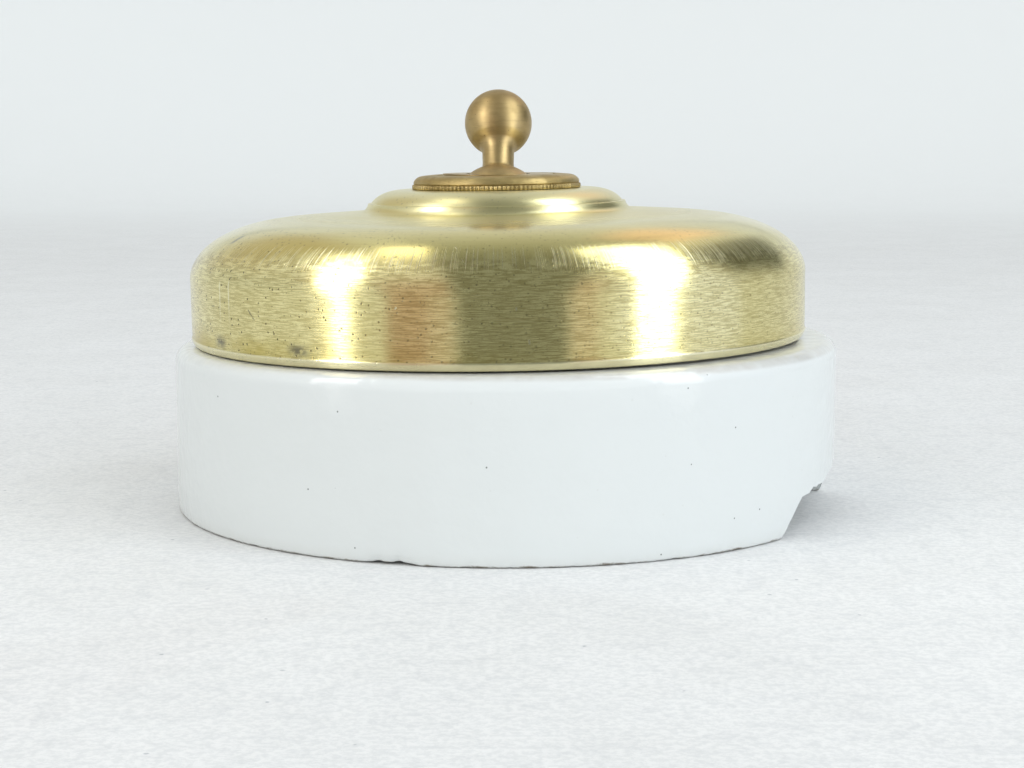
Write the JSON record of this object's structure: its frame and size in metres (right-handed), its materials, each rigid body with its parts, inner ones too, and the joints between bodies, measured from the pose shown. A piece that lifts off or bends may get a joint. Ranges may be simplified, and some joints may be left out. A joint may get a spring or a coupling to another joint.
{
  "type": "toggle wall switch",
  "caption": "Round surface-mounted tumbler switch: white porcelain base, domed brass cover held by a knurled ring, ball-ended brass dolly and a spring-driven rocker with a bridging contact.",
  "frame": {"origin": "centre of the porcelain base's back face, the face that rests on the wall", "axes": "+Z out of the wall toward the dolly; the dolly swings in the YZ plane and leans toward +Y at rest (contacts open); the cable break-out is near +X"},
  "size_m": [0.072, 0.072, 0.0451],
  "materials": {
    "glazed_porcelain": "glossy white glaze, slightly wavy, rough unglazed lower edge",
    "cover_brass": "satin, circumferential brushing, small dark pits and faint stains",
    "lining_fibre": "matte vulcanised fibre",
    "ring_brass": "unpolished, knurled, darker in the hollows",
    "bridge_brass": "dull, rolled strip",
    "neck_brass": "turned, threaded",
    "dolly_brass": "satin, worn bronze tone",
    "steel_pins": "drawn steel",
    "spring_steel": "spring wire",
    "plunger_brass": "turned",
    "rocker_ebonite": "moulded ebonite, satin",
    "spacer_brass": "tube, dull",
    "contact_copper": "rolled copper, heat-tinted at the ends",
    "contact_brass": "dull",
    "terminal_brass": "turned",
    "screw_brass": "turned, slotted",
    "sealing_compound": "pitch-like compound"
  },
  "bodies": {
    "housing": {"porcelain_base": "glazed_porcelain", "brass_cover": "cover_brass", "cover_liner": "lining_fibre", "locking_ring": "ring_brass", "bridge_frame": "bridge_brass", "neck_bush": "neck_brass", "dolly_pin": "steel_pins", "rocker_pin": "steel_pins", "rocker_spacers": "spacer_brass", "fixed_contact_left": "contact_brass", "fixed_contact_right": "contact_brass", "terminal_left": "terminal_brass", "terminal_right": "terminal_brass", "clamp_screw_left": "screw_brass", "clamp_screw_right": "screw_brass", "terminal_fixing_screws": "screw_brass", "bridge_screws": "screw_brass", "bridge_washers": "screw_brass", "bridge_nuts": "screw_brass", "sealing_plugs": "sealing_compound"},
    "lever": {"dolly": "dolly_brass", "toggle_spring": "spring_steel"},
    "plunger": {"spring_plunger": "plunger_brass"},
    "tumbler": {"rocker": "rocker_ebonite", "moving_contact": "contact_copper", "contact_rivets": "contact_brass"}
  },
  "joints": [
    {"name": "dolly_tilt", "type": "hinge", "parent": "housing", "child": "lever", "pos_m": [-0.00085, 0, 0.0318], "axis": [1, 0, 0], "range_deg": [0, 70]},
    {"name": "plunger_slide", "type": "slide", "parent": "lever", "child": "plunger", "axis": [0, 0.5736, 0.8192], "range_m": [0, 0.0008], "stiffness_N_per_m": 400, "springref_m": -0.001, "deforming": ["toggle_spring"]},
    {"name": "rocker_swing", "type": "hinge", "parent": "housing", "child": "tumbler", "pos_m": [-0.00085, 0, 0.0188], "axis": [1, 0, 0], "range_deg": [-30, 0]}
  ],
  "couplings": [
    {"joint": "rocker_swing", "follows": "dolly_tilt", "ratio": -0.42857}
  ]
}
